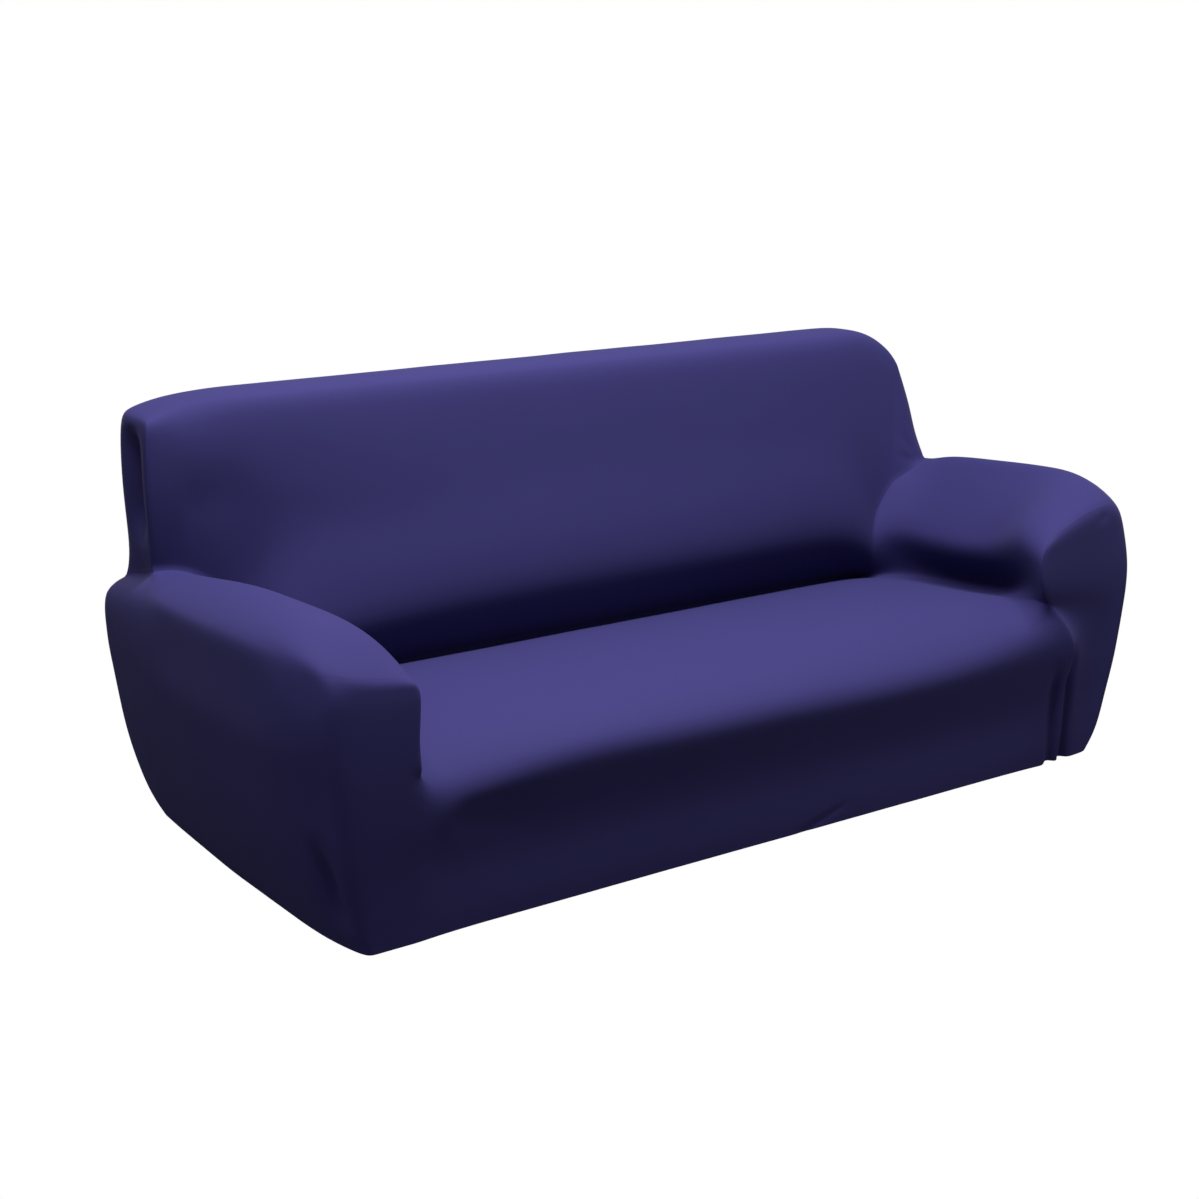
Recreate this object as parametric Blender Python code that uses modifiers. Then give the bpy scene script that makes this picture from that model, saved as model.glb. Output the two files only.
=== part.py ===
"""Stretch-knit slipcover in the shape in which it is worn, cut as nine panels.

The cover is laid out as a block form on a whole-number grid (columns across, rows from front to
back, levels from the hem up). Each grid point then gets its real place from the tables below, the
form is subdivided into a smooth skin, the broad folds are pressed in, and the skin is cut along its
seams into panels of one cloth thickness.

Lengths are in metres. X runs to the viewer's right, -Y is the front, +Z is up. In the tables, depth
is measured back from the front hem and height is measured up from the hem. The finished cover has
its origin under the middle of the top roll, where it is held up.
"""

import math

import bmesh
import bpy
from mathutils import Vector
from mathutils.bvhtree import BVHTree

# Cloth
CLOTH_THICKNESS = 0.002
SEAM_GAP = 0.0003
SMOOTHING_LEVELS = 1
RIM_ANGLE = 1.0
SPLIT_DIRECTION = Vector((0.31, 0.57, 0.76))

# How firm the corner is along each kind of seam, from 0 for round to 1 for sharp: on an arm's
# outer side, along its inner side and over its top
SEAM_FIRMNESS = (
    {"seam": {"back_end", "inside_back"}, "outer": 0.70, "inner": 0.70, "top": 0.30},
    {"seam": {"arm_wrap", "outside_back"}, "outer": 0.50, "inner": 0.50, "top": 0.50},
    {"seam": {"seat_and_front", "inside_back"}, "outer": 0.50, "inner": 0.50, "top": 0.50},
    {"seam": {"seat_and_front", "arm_wrap"}, "outer": 0.60, "inner": 0.60, "top": 0.60},
    {"seam": {"arm_front", "arm_wrap"}, "outer": 0.10, "inner": 0.55, "top": 0.38},
    {"seam": {"arm_wrap", "inside_back"}, "outer": 0.70, "inner": 0.70, "top": 0.70},
    {"seam": {"arm_wrap", "back_end"}, "outer": 0.85, "inner": 0.85, "top": 0.85},
    {"seam": {"arm_front", "seat_and_front"}, "outer": 0.35, "inner": 0.35, "top": 0.35},
)

# Lines within a panel, or parts of a seam, along which it is drawn more or less firm than above
FIRM_LINES = (
    {"columns": (0, 0), "rows": (1, 5), "levels": (7, 7), "firm": 0.35},
    {"columns": (0, 0), "rows": (0, 1), "levels": (7, 7), "firm": 0.12},
    {"columns": (0, 1), "rows": (0, 0), "levels": (7, 7), "firm": 0.16},
    {"columns": (13, 13), "rows": (1, 5), "levels": (7, 7), "firm": 0.30},
    {"columns": (11, 11), "rows": (0, 0), "levels": (2, 4), "firm": 0.60},
    {"columns": (13, 13), "rows": (5, 5), "levels": (9, 10), "firm": 0.20},
    {"columns": (13, 13), "rows": (7, 7), "levels": (9, 10), "firm": 0.20},
    {"columns": (13, 13), "rows": (5, 7), "levels": (10, 10), "firm": 0.10},
)

# Where the cover is held up: the middle of the top roll, on the inner side of the cloth
TOP_DEPTH = 0.715
TOP_HEIGHT = 0.850

# Grid lines that bound the blocks
COLUMN_COUNT = 14
ROW_COUNT = 7
BACK_END_COLUMN = 1
ARM_INNER_COLUMN = 3
MIDDLE_COLUMN = COLUMN_COUNT // 2
BACK_FACE_ROW = 5
REAR_ROW = ROW_COUNT
SEAT_LEVEL = 4
ARM_LEVEL = 7
TOP_LEVEL = 10
GUSSET_COLUMN = 12
GUSSET_TOP_LEVEL = 9

# How much of the crown's rise and fall the arm's shoulder below it follows
SHOULDER_FOLLOW = 0.6

# One row for each column, from the outer face of an arm to the middle of the seat
COLUMNS = (
    # half width on the seat and back, share of the arm's width from its inner to its outer face,
    # and how far the front of the back is set behind its middle
    {"half_width": 1.000, "arm_share": 1.00, "back_set": 0.000},
    {"half_width": 0.950, "arm_share": 0.82, "back_set": 0.010},
    {"half_width": 0.875, "arm_share": 0.42, "back_set": 0.010},
    {"half_width": 0.785, "arm_share": 0.00, "back_set": 0.005},
    {"half_width": 0.710, "arm_share": 0.00, "back_set": 0.000},
    {"half_width": 0.490, "arm_share": 0.00, "back_set": 0.000},
    {"half_width": 0.245, "arm_share": 0.00, "back_set": 0.000},
    {"half_width": 0.000, "arm_share": 0.00, "back_set": 0.000},
)

# One row for each grid row, from the front to the rear
ROWS = (
    # depth, how far the arm's outer face stands out from its plain profile, lift of the arm's
    # crown, and how far the arm's top lies below the crown along its outer and its inner edge
    {"depth": 0.000, "arm_bulge": -0.016, "crown_lift": -0.032, "outer_drop": 0.070, "inner_drop": 0.075},
    {"depth": 0.090, "arm_bulge": 0.002, "crown_lift": 0.010, "outer_drop": 0.060, "inner_drop": 0.075},
    {"depth": 0.230, "arm_bulge": 0.004, "crown_lift": -0.006, "outer_drop": 0.056, "inner_drop": 0.075},
    {"depth": 0.380, "arm_bulge": 0.004, "crown_lift": -0.018, "outer_drop": 0.052, "inner_drop": 0.075},
    {"depth": 0.500, "arm_bulge": 0.000, "crown_lift": -0.026, "outer_drop": 0.046, "inner_drop": 0.080},
    {"depth": 0.575, "arm_bulge": -0.004, "crown_lift": -0.036, "outer_drop": 0.040, "inner_drop": 0.085},
    {"depth": 0.700, "arm_bulge": -0.010, "crown_lift": -0.050, "outer_drop": 0.034, "inner_drop": 0.075},
    {"depth": 0.805, "arm_bulge": -0.018, "crown_lift": -0.064, "outer_drop": 0.030, "inner_drop": 0.075},
)

# One row for each grid row again: lift of the seat and of its edge along the arm, how much of the
# hollow under the arm pad is open there, and how far the pad hangs down over it
SEAT_ROWS = (
    {"seat_lift": -0.035, "edge_lift": 0.000, "hollow": 0.0, "pad_drop": 0.000},
    {"seat_lift": 0.016, "edge_lift": -0.008, "hollow": 0.4, "pad_drop": 0.010},
    {"seat_lift": 0.026, "edge_lift": -0.021, "hollow": 1.0, "pad_drop": 0.046},
    {"seat_lift": 0.016, "edge_lift": -0.029, "hollow": 1.0, "pad_drop": 0.062},
    {"seat_lift": -0.006, "edge_lift": -0.037, "hollow": 0.8, "pad_drop": 0.066},
    {"seat_lift": -0.042, "edge_lift": -0.050, "hollow": 0.2, "pad_drop": 0.060},
    {"seat_lift": 0.000, "edge_lift": 0.000, "hollow": 0.0, "pad_drop": 0.000},
    {"seat_lift": 0.000, "edge_lift": 0.000, "hollow": 0.0, "pad_drop": 0.000},
)

# One row for each level up to the arm's top, from the hem: half width at the arm's outer and
# inner face, how far the inner face is hollowed under the arm pad, and how far the front of the
# seat and of an arm stands forward
ARM_LEVELS = (
    {"arm_outer": 0.908, "arm_inner": 0.790, "hollow": 0.000, "seat_front": 0.000, "arm_front": 0.008},
    {"arm_outer": 0.936, "arm_inner": 0.790, "hollow": 0.000, "seat_front": 0.002, "arm_front": 0.010},
    {"arm_outer": 0.966, "arm_inner": 0.790, "hollow": 0.000, "seat_front": -0.004, "arm_front": 0.014},
    {"arm_outer": 0.984, "arm_inner": 0.788, "hollow": 0.000, "seat_front": 0.010, "arm_front": 0.020},
    {"arm_outer": 0.997, "arm_inner": 0.780, "hollow": 0.060, "seat_front": 0.022, "arm_front": 0.022},
    {"arm_outer": 1.004, "arm_inner": 0.765, "hollow": 0.110, "seat_front": 0.000, "arm_front": 0.022},
    {"arm_outer": 1.008, "arm_inner": 0.755, "hollow": -0.010, "seat_front": 0.000, "arm_front": 0.020},
    {"arm_outer": 0.994, "arm_inner": 0.778, "hollow": 0.000, "seat_front": 0.000, "arm_front": 0.016},
)

# One row for each level, from the hem to the top roll: height, and depth of the back's front and
# rear faces
LEVELS = (
    {"height": 0.000, "back_face": 0.575, "rear_face": 0.805},
    {"height": 0.050, "back_face": 0.575, "rear_face": 0.806},
    {"height": 0.140, "back_face": 0.575, "rear_face": 0.807},
    {"height": 0.220, "back_face": 0.575, "rear_face": 0.808},
    {"height": 0.322, "back_face": 0.625, "rear_face": 0.808},
    {"height": 0.365, "back_face": 0.572, "rear_face": 0.807},
    {"height": 0.440, "back_face": 0.556, "rear_face": 0.805},
    {"height": 0.590, "back_face": 0.595, "rear_face": 0.800},
    {"height": 0.660, "back_face": 0.610, "rear_face": 0.797},
    {"height": 0.800, "back_face": 0.634, "rear_face": 0.790},
    {"height": 0.852, "back_face": 0.652, "rear_face": 0.775},
)

# Where the stretched cloth is uneven: ranges of columns, rows and levels, each with one move in
# metres
UNEVEN = (
    # the right shoulder of the back is drawn down and in
    {"columns": (12, 12), "rows": (5, 7), "levels": (10, 10), "move": (-0.022, 0.000, -0.014)},
    {"columns": (13, 13), "rows": (5, 7), "levels": (10, 10), "move": (-0.052, 0.000, -0.052)},
    {"columns": (13, 13), "rows": (5, 7), "levels": (9, 9), "move": (-0.031, 0.000, -0.035)},
    {"columns": (13, 13), "rows": (5, 7), "levels": (8, 8), "move": (0.010, 0.000, 0.000)},
    {"columns": (13, 13), "rows": (5, 5), "levels": (7, 7), "move": (0.022, -0.020, -0.006)},
    {"columns": (13, 13), "rows": (6, 7), "levels": (7, 7), "move": (0.022, 0.000, 0.000)},
    # the gusset under it slants in to the corner of the seat
    {"columns": (12, 12), "rows": (5, 5), "levels": (9, 9), "move": (0.015, 0.000, -0.030)},
    {"columns": (12, 12), "rows": (5, 5), "levels": (8, 8), "move": (0.010, 0.000, -0.020)},
    {"columns": (12, 12), "rows": (5, 5), "levels": (7, 7), "move": (-0.020, -0.012, -0.054)},
    {"columns": (12, 12), "rows": (4, 4), "levels": (7, 7), "move": (0.000, 0.000, -0.014)},
    {"columns": (11, 11), "rows": (5, 5), "levels": (7, 7), "move": (0.010, -0.012, -0.036)},
    {"columns": (11, 11), "rows": (4, 5), "levels": (6, 6), "move": (0.020, 0.000, 0.000)},
    # the left end of the back stands square
    {"columns": (1, 1), "rows": (5, 7), "levels": (10, 10), "move": (0.000, 0.000, -0.028)},
    {"columns": (2, 2), "rows": (5, 7), "levels": (10, 10), "move": (0.000, 0.000, -0.006)},
    {"columns": (1, 1), "rows": (5, 7), "levels": (8, 9), "move": (-0.012, 0.000, 0.000)},
    {"columns": (1, 1), "rows": (5, 5), "levels": (10, 10), "move": (0.000, -0.020, 0.000)},
    {"columns": (1, 1), "rows": (5, 5), "levels": (9, 9), "move": (0.000, -0.010, 0.000)},
    {"columns": (1, 1), "rows": (5, 5), "levels": (8, 8), "move": (0.000, 0.020, 0.000)},
    {"columns": (1, 1), "rows": (5, 5), "levels": (7, 7), "move": (-0.004, 0.060, 0.000)},
    # beside it the back is drawn in above the left arm
    {"columns": (2, 2), "rows": (5, 5), "levels": (9, 9), "move": (0.000, -0.008, -0.012)},
    {"columns": (2, 3), "rows": (5, 5), "levels": (8, 8), "move": (0.000, 0.018, 0.000)},
    {"columns": (2, 3), "rows": (5, 5), "levels": (7, 7), "move": (0.000, 0.048, 0.000)},
    {"columns": (3, 3), "rows": (5, 5), "levels": (6, 6), "move": (0.000, 0.030, 0.000)},
    {"columns": (4, 4), "rows": (5, 5), "levels": (8, 8), "move": (0.000, 0.010, 0.000)},
    {"columns": (4, 4), "rows": (5, 5), "levels": (6, 7), "move": (0.000, 0.026, 0.000)},
    {"columns": (5, 5), "rows": (5, 5), "levels": (6, 7), "move": (0.000, 0.008, 0.000)},
    # the left arm has settled lower than the right one
    {"columns": (0, 0), "rows": (0, 0), "levels": (7, 7), "move": (0.002, 0.004, 0.020)},
    {"columns": (1, 1), "rows": (0, 0), "levels": (7, 7), "move": (0.000, 0.000, -0.056)},
    {"columns": (2, 2), "rows": (0, 0), "levels": (7, 7), "move": (0.000, 0.000, -0.082)},
    {"columns": (3, 3), "rows": (0, 0), "levels": (7, 7), "move": (-0.010, 0.000, -0.012)},
    {"columns": (0, 0), "rows": (1, 1), "levels": (7, 7), "move": (0.002, 0.000, -0.022)},
    {"columns": (1, 1), "rows": (1, 1), "levels": (7, 7), "move": (0.000, 0.000, -0.044)},
    {"columns": (2, 2), "rows": (1, 1), "levels": (7, 7), "move": (0.000, 0.000, -0.028)},
    {"columns": (3, 3), "rows": (1, 1), "levels": (7, 7), "move": (0.000, 0.000, -0.004)},
    {"columns": (0, 0), "rows": (2, 4), "levels": (7, 7), "move": (-0.004, 0.000, -0.010)},
    {"columns": (1, 1), "rows": (2, 4), "levels": (7, 7), "move": (0.000, 0.000, -0.024)},
    {"columns": (2, 3), "rows": (2, 2), "levels": (7, 7), "move": (0.000, 0.000, -0.010)},
    {"columns": (2, 3), "rows": (4, 4), "levels": (7, 7), "move": (0.000, 0.000, -0.008)},
    {"columns": (0, 0), "rows": (5, 5), "levels": (7, 7), "move": (-0.006, 0.000, -0.008)},
    {"columns": (0, 0), "rows": (6, 6), "levels": (7, 7), "move": (-0.014, 0.000, -0.010)},
    {"columns": (0, 0), "rows": (7, 7), "levels": (7, 7), "move": (-0.020, 0.000, -0.018)},
    {"columns": (1, 1), "rows": (5, 7), "levels": (7, 7), "move": (0.006, 0.000, -0.022)},
    {"columns": (2, 3), "rows": (5, 7), "levels": (7, 7), "move": (0.000, 0.000, -0.022)},
    {"columns": (3, 3), "rows": (0, 1), "levels": (5, 6), "move": (-0.022, 0.000, 0.000)},
    {"columns": (0, 0), "rows": (1, 4), "levels": (6, 6), "move": (0.008, 0.000, 0.000)},
    # its front corner is rounded off, most of all towards the top
    {"columns": (0, 0), "rows": (0, 0), "levels": (1, 2), "move": (0.008, 0.010, 0.000)},
    {"columns": (0, 0), "rows": (0, 0), "levels": (3, 7), "move": (0.024, 0.028, 0.000)},
    # the front of the right arm leans in over the seat and stands a little narrower
    {"columns": (11, 11), "rows": (0, 0), "levels": (5, 6), "move": (-0.062, 0.000, 0.000)},
    {"columns": (11, 11), "rows": (1, 1), "levels": (5, 6), "move": (-0.030, 0.000, 0.000)},
    {"columns": (11, 11), "rows": (0, 1), "levels": (5, 5), "move": (0.000, 0.000, 0.024)},
    {"columns": (11, 11), "rows": (0, 0), "levels": (7, 7), "move": (-0.080, 0.000, 0.012)},
    {"columns": (11, 11), "rows": (1, 1), "levels": (7, 7), "move": (-0.070, 0.000, -0.012)},
    {"columns": (12, 12), "rows": (0, 0), "levels": (2, 4), "move": (0.000, 0.010, 0.000)},
    {"columns": (13, 13), "rows": (0, 0), "levels": (7, 7), "move": (0.000, 0.006, -0.008)},
    {"columns": (14, 14), "rows": (0, 1), "levels": (2, 6), "move": (-0.010, 0.000, 0.000)},
    {"columns": (14, 14), "rows": (0, 1), "levels": (0, 1), "move": (0.006, 0.000, 0.000)},
    {"columns": (14, 14), "rows": (0, 0), "levels": (7, 7), "move": (-0.006, 0.026, 0.010)},
    {"columns": (14, 14), "rows": (1, 1), "levels": (7, 7), "move": (0.004, 0.000, 0.010)},
    {"columns": (14, 14), "rows": (5, 7), "levels": (7, 7), "move": (0.000, 0.000, 0.020)},
    # behind it the pad's inner side is steep and hangs over the hollow
    {"columns": (13, 13), "rows": (2, 4), "levels": (7, 7), "move": (-0.004, 0.000, 0.020)},
    {"columns": (12, 12), "rows": (2, 4), "levels": (7, 7), "move": (0.020, 0.000, -0.060)},
    {"columns": (11, 11), "rows": (2, 4), "levels": (7, 7), "move": (0.062, 0.000, -0.066)},
    {"columns": (11, 11), "rows": (2, 4), "levels": (6, 6), "move": (0.066, 0.000, 0.000)},
    {"columns": (11, 11), "rows": (2, 4), "levels": (5, 5), "move": (0.052, 0.000, -0.026)},
    {"columns": (11, 11), "rows": (2, 4), "levels": (4, 4), "move": (-0.045, 0.000, 0.012)},
    {"columns": (11, 11), "rows": (4, 4), "levels": (4, 6), "move": (0.000, 0.030, 0.000)},
    {"columns": (11, 11), "rows": (1, 1), "levels": (6, 6), "move": (0.026, 0.000, 0.000)},
    # the front roll of the seat dips by the left arm and rises beside it
    {"columns": (3, 3), "rows": (0, 0), "levels": (3, 4), "move": (0.000, 0.000, -0.026)},
    {"columns": (4, 4), "rows": (0, 0), "levels": (3, 4), "move": (0.000, 0.000, -0.018)},
    {"columns": (5, 5), "rows": (0, 0), "levels": (3, 4), "move": (0.000, 0.000, 0.016)},
    {"columns": (8, 9), "rows": (0, 0), "levels": (3, 4), "move": (0.000, 0.000, -0.010)},
    # its right end stands full and comes forward past the arm
    {"columns": (10, 10), "rows": (1, 1), "levels": (4, 4), "move": (0.000, 0.000, 0.020)},
    {"columns": (10, 10), "rows": (0, 0), "levels": (4, 4), "move": (-0.014, 0.006, 0.030)},
    {"columns": (10, 10), "rows": (0, 0), "levels": (3, 3), "move": (0.016, -0.018, 0.034)},
    {"columns": (11, 11), "rows": (1, 1), "levels": (4, 4), "move": (-0.040, 0.000, 0.034)},
    {"columns": (11, 11), "rows": (0, 0), "levels": (4, 4), "move": (-0.052, 0.008, 0.040)},
    {"columns": (11, 11), "rows": (0, 0), "levels": (3, 3), "move": (0.006, -0.026, 0.066)},
    {"columns": (11, 11), "rows": (0, 0), "levels": (2, 2), "move": (0.012, -0.014, 0.036)},
    {"columns": (11, 11), "rows": (0, 0), "levels": (1, 1), "move": (0.012, -0.010, 0.016)},
    # the hem of the right arm front sits a little higher
    {"columns": (12, 13), "rows": (0, 0), "levels": (0, 0), "move": (0.000, 0.000, 0.006)},
    {"columns": (14, 14), "rows": (0, 0), "levels": (0, 0), "move": (-0.008, 0.000, 0.014)},
)

# The broad folds: each runs through three points (x, depth, height), with its width, its depth in
# the cloth (below zero for a trough) and how it fades at its start and end
FOLDS = (
    # below the front roll of the seat beside the left arm
    {"path": ((-0.740, 0.000, 0.215), (-0.640, 0.000, 0.205), (-0.500, 0.000, 0.190)),
     "width": 0.035, "lift": -0.005, "fade": (0.3, 0.4)},
    # a groove down the left end of the back, behind its front edge
    {"path": ((-0.955, 0.706, 0.810), (-0.955, 0.706, 0.700), (-0.955, 0.708, 0.580)),
     "width": 0.025, "lift": -0.028, "fade": (0.15, 0.30)},
)

PANELS = (
    "seat_and_front",
    "inside_back",
    "outside_back",
    "back_end_left",
    "back_end_right",
    "arm_wrap_left",
    "arm_wrap_right",
    "arm_front_left",
    "arm_front_right",
)

NAVY = (0.030, 0.028, 0.110, 1.0)
KNIT_ROUGHNESS = 0.85


def empty_scene():
    for obj in list(bpy.data.objects):
        bpy.data.objects.remove(obj, do_unlink=True)


def knit_material(name):
    material = bpy.data.materials.new(name)
    material.use_nodes = True
    shader = material.node_tree.nodes["Principled BSDF"]
    shader.inputs["Base Color"].default_value = NAVY
    shader.inputs["Roughness"].default_value = KNIT_ROUGHNESS
    shader.inputs["Metallic"].default_value = 0.0
    return material


def block_form():
    """The cover as blocks on the whole-number grid, open underneath, raised level by level."""
    form = bmesh.new()
    bmesh.ops.create_grid(form, x_segments=COLUMN_COUNT, y_segments=ROW_COUNT, size=0.5)
    bmesh.ops.scale(form, vec=(COLUMN_COUNT, ROW_COUNT, 1.0), verts=form.verts)
    bmesh.ops.translate(form, vec=(COLUMN_COUNT / 2, ROW_COUNT / 2, 0.0), verts=form.verts)

    def in_arm(centre):
        return not ARM_INNER_COLUMN < centre.x < COLUMN_COUNT - ARM_INNER_COLUMN

    def in_back(centre):
        return centre.y > BACK_FACE_ROW and BACK_END_COLUMN < centre.x < COLUMN_COUNT - BACK_END_COLUMN

    def raise_cells(wanted, levels):
        for _ in range(levels):
            tops = [f for f in form.faces if f.normal.z > 0.5 and wanted(f.calc_center_median())]
            raised = bmesh.ops.extrude_face_region(form, geom=tops)["geom"]
            corners = [g for g in raised if isinstance(g, bmesh.types.BMVert)]
            bmesh.ops.translate(form, vec=(0.0, 0.0, 1.0), verts=corners)
            bmesh.ops.delete(form, geom=[f for f in tops if f.is_valid], context="FACES")
            form.normal_update()

    raise_cells(lambda centre: True, SEAT_LEVEL)
    raise_cells(lambda centre: in_arm(centre) or in_back(centre), ARM_LEVEL - SEAT_LEVEL)
    raise_cells(in_back, TOP_LEVEL - ARM_LEVEL)
    return form


def mirrored_column(column):
    return min(column, COLUMN_COUNT - column)


def half_width(column, row, level):
    side = mirrored_column(column)
    plain = COLUMNS[side]["half_width"]
    under_back = level == ARM_LEVEL and row >= BACK_FACE_ROW and side > 0
    if side > ARM_INNER_COLUMN or level > ARM_LEVEL or under_back:
        return plain
    profile = ARM_LEVELS[level]
    inner = profile["arm_inner"] + profile["hollow"] * SEAT_ROWS[row]["hollow"]
    outer = profile["arm_outer"] + ROWS[row]["arm_bulge"]
    return inner + (outer - inner) * COLUMNS[side]["arm_share"]


def depth(column, row, level):
    side = mirrored_column(column)
    back_face = LEVELS[level]["back_face"] + COLUMNS[side]["back_set"]
    rear_face = LEVELS[level]["rear_face"]
    if row == 0:
        return -ARM_LEVELS[level]["arm_front" if side <= ARM_INNER_COLUMN else "seat_front"]
    if row == REAR_ROW:
        return rear_face
    if level >= SEAT_LEVEL and row == BACK_FACE_ROW:
        return back_face
    if level == TOP_LEVEL:
        return (back_face + rear_face) / 2
    return ROWS[row]["depth"]


def height(column, row, level):
    plain = LEVELS[level]["height"]
    side = mirrored_column(column)
    if level == SEAT_LEVEL and side > ARM_INNER_COLUMN:
        return plain + SEAT_ROWS[row]["seat_lift"]
    if level == SEAT_LEVEL and side == ARM_INNER_COLUMN:
        return plain + SEAT_ROWS[row]["edge_lift"]
    if SEAT_LEVEL < level < ARM_LEVEL and side == ARM_INNER_COLUMN:
        return plain - SEAT_ROWS[row]["pad_drop"]
    if level == ARM_LEVEL - 1 and side == 0:
        return plain + SHOULDER_FOLLOW * ROWS[row]["crown_lift"]
    if level == ARM_LEVEL and side <= ARM_INNER_COLUMN:
        edge_drop = {0: ROWS[row]["outer_drop"], ARM_INNER_COLUMN: ROWS[row]["inner_drop"]}
        return plain + ROWS[row]["crown_lift"] - edge_drop.get(side, 0.0)
    return plain


def is_within(grid_point, spot):
    """Whether a grid point lies in the ranges of columns, rows and levels that a table's row gives."""
    ranges = (spot["columns"], spot["rows"], spot["levels"])
    return all(low <= round(step) <= high for step, (low, high) in zip(grid_point, ranges))


def uneven_move(*grid_point):
    """The sum of the moves in the table of uneven places whose ranges hold this grid point."""
    return sum((Vector(spot["move"]) for spot in UNEVEN if is_within(grid_point, spot)), Vector())


def place(column, row, level):
    side = -1 if column < MIDDLE_COLUMN else 1
    plain = Vector((
        side * half_width(column, row, level),
        depth(column, row, level) - TOP_DEPTH,
        height(column, row, level) - TOP_HEIGHT,
    ))
    return plain + uneven_move(column, row, level)


def panel_of(centre, normal):
    """The name of the panel that a face belongs to, from its middle and its direction."""
    side = "left" if centre.x < MIDDLE_COLUMN else "right"
    on_arm = mirrored_column(centre.x) < ARM_INNER_COLUMN
    if normal.y > 0.5:
        return "outside_back"
    if centre.y > BACK_FACE_ROW and centre.z > TOP_LEVEL - 0.1:
        return "inside_back"
    if normal.y < -0.5:
        if centre.y > 0.5:
            in_gusset = centre.x > GUSSET_COLUMN and ARM_LEVEL < centre.z < GUSSET_TOP_LEVEL
            return "back_end_right" if in_gusset else "inside_back"
        return f"arm_front_{side}" if on_arm else "seat_and_front"
    if abs(normal.x) > 0.5:
        return f"back_end_{side}" if centre.z > ARM_LEVEL else f"arm_wrap_{side}"
    return f"arm_wrap_{side}" if on_arm else "seat_and_front"


def kind_of(number):
    return PANELS[number].removesuffix("_left").removesuffix("_right")


def firmness(edge):
    """How sharp the corner along an edge of the block form stays, from the seam that runs there."""
    kinds = {kind_of(face.material_index) for face in edge.link_faces}
    middle = (edge.verts[0].co + edge.verts[1].co) / 2
    side = "inner" if mirrored_column(middle.x) > 0 else "outer"
    part = "top" if middle.z in (ARM_LEVEL, TOP_LEVEL) else side
    firm = sum(seam[part] for seam in SEAM_FIRMNESS if kinds == seam["seam"])
    for line in FIRM_LINES:
        if all(is_within(end.co, line) for end in edge.verts):
            firm = line["firm"]
    return firm


def lay_on_skin(path, tree):
    """The path in short steps, each dropped onto the cloth."""
    steps = []
    for start, end in zip(path, path[1:]):
        steps += [start.lerp(end, number / 6) for number in range(6)]
    return [tree.find_nearest(step)[0] for step in [*steps, path[-1]]]


def along_path(point, path):
    """The distance from a point to a path of straight lengths, and how far along it that is, 0 to 1."""
    best = 1e9
    share = 0.0
    for number, (start, end) in enumerate(zip(path, path[1:])):
        run = end - start
        part = max(0.0, min(1.0, (point - start).dot(run) / run.length_squared))
        away = (point - start - run * part).length
        if away < best:
            best = away
            share = (number + part) / (len(path) - 1)
    return best, share


def smooth_step(high, value):
    part = max(0.0, min(1.0, value / high)) if high else 1.0
    return part * part * (3.0 - 2.0 * part)


def press_folds(skin):
    """Lifts or lowers the cloth along each fold, most on its path and less to both sides."""
    skin.normal_update()
    shift = Vector((0.0, -TOP_DEPTH, -TOP_HEIGHT))
    tree = BVHTree.FromBMesh(skin)
    lifts = [0.0] * len(skin.verts)
    for fold in FOLDS:
        path = lay_on_skin([Vector(point) + shift for point in fold["path"]], tree)
        fade_in, fade_out = fold["fade"]
        for number, point in enumerate(skin.verts):
            away, share = along_path(point.co, path)
            if away < 3.0 * fold["width"]:
                fade = smooth_step(fade_in, share) * smooth_step(fade_out, 1.0 - share)
                lifts[number] += fold["lift"] * fade * math.exp(-(away / fold["width"]) ** 2)
    for point, lift in zip(skin.verts, lifts):
        point.co += point.normal * lift
    skin.normal_update()


def smooth_skin():
    """The block form, placed and subdivided; each face's material index is its panel."""
    form = block_form()
    form.normal_update()
    for face in form.faces:
        face.material_index = PANELS.index(panel_of(face.calc_center_median(), face.normal))
    crease = form.edges.layers.float.new("crease_edge")
    for edge in form.edges:
        edge[crease] = firmness(edge)
    for point in form.verts:
        point.co = place(*(round(step) for step in point.co))
    mesh = bpy.data.meshes.new("cover_form")
    form.to_mesh(mesh)
    form.free()
    form_object = bpy.data.objects.new("cover_form", mesh)
    bpy.context.scene.collection.objects.link(form_object)
    smoothing = form_object.modifiers.new("Smoothing", "SUBSURF")
    smoothing.levels = SMOOTHING_LEVELS
    smoothing.render_levels = SMOOTHING_LEVELS
    bpy.context.view_layer.update()
    evaluated = form_object.evaluated_get(bpy.context.evaluated_depsgraph_get())
    smoothed = bpy.data.meshes.new_from_object(evaluated)
    skin = bmesh.new()
    skin.from_mesh(smoothed)
    bpy.data.objects.remove(form_object, do_unlink=True)
    bpy.data.meshes.remove(smoothed)
    return skin


def draw_in_edges(panel, shared_edges):
    """Moves the points on the seams half a seam gap into the panel, along the cloth."""
    steps = {}
    for edge in shared_edges:
        face = edge.link_faces[0]
        along = (edge.verts[1].co - edge.verts[0].co).normalized()
        inward = face.calc_center_median() - edge.verts[0].co
        inward -= along * inward.dot(along)
        for point in edge.verts:
            steps.setdefault(point, []).append(inward.normalized())
    for point, directions in steps.items():
        total = sum(directions, Vector())
        reach = max(total.normalized().dot(directions[0]), 0.4)
        point.co += total.normalized() * (SEAM_GAP / 2 / reach)


def split_rim(panel, inner_points):
    """Splits each face of the rim along one diagonal, the same one on both sides of a seam."""
    for face in list(panel.faces):
        corners = list(face.verts)
        outer = [point for point in corners if point not in inner_points]
        if len(outer) == 2:
            first = min(outer, key=lambda point: point.co.dot(SPLIT_DIRECTION))
            opposite = corners[(corners.index(first) + 2) % len(corners)]
            bmesh.utils.face_split(face, first, opposite)


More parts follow.
